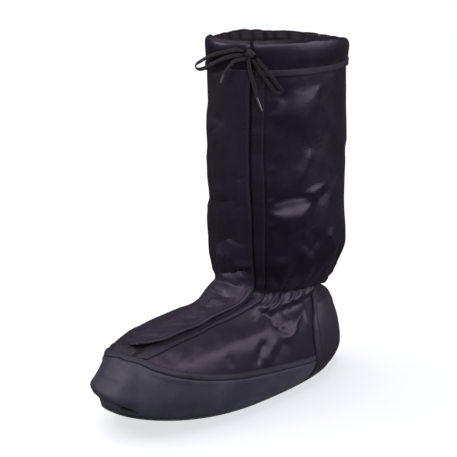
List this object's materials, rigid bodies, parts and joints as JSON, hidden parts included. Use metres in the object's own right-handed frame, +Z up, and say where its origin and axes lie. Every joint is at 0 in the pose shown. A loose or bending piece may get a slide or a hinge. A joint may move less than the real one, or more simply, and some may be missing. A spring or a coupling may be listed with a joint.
{
  "type": "winter overshoe",
  "caption": "Left winter overshoe: tall dark nylon shaft gathered at the ankle, drawcord collar with bow, side flap over the front, coated toe and heel, thin flat sole.",
  "frame": {"origin": "on the floor under the middle of the heel, in the flat underside of the sole", "axes": "+Z up along the shaft, -Y toward the toe, +X toward the outer side of the left foot"},
  "size_m": [0.1284, 0.3201, 0.3558],
  "materials": {
    "nylon": "near-black satin nylon with a faint purple cast, soft sheen on the folds",
    "coated_fabric": "slate grey coated fabric, matter than the nylon",
    "sole_rubber": "matt black moulded rubber",
    "tape": "dull black woven strip",
    "lace": "dark grey flat woven lace",
    "aglet": "small smoky lace tip with a bright point"
  },
  "bodies": {
    "root": {"outsole": "sole_rubber", "upper": "nylon", "rand": "coated_fabric", "heel_counter": "coated_fabric", "placket_flap": "nylon", "placket_tape": "tape", "collar_casing": "nylon", "lace_knot": "lace", "lace_loop_lat": "lace", "lace_loop_med": "lace", "lace_end_lat": "lace", "lace_end_med": "lace", "aglet_lat": "aglet", "aglet_med": "aglet"}
  },
  "joints": []
}
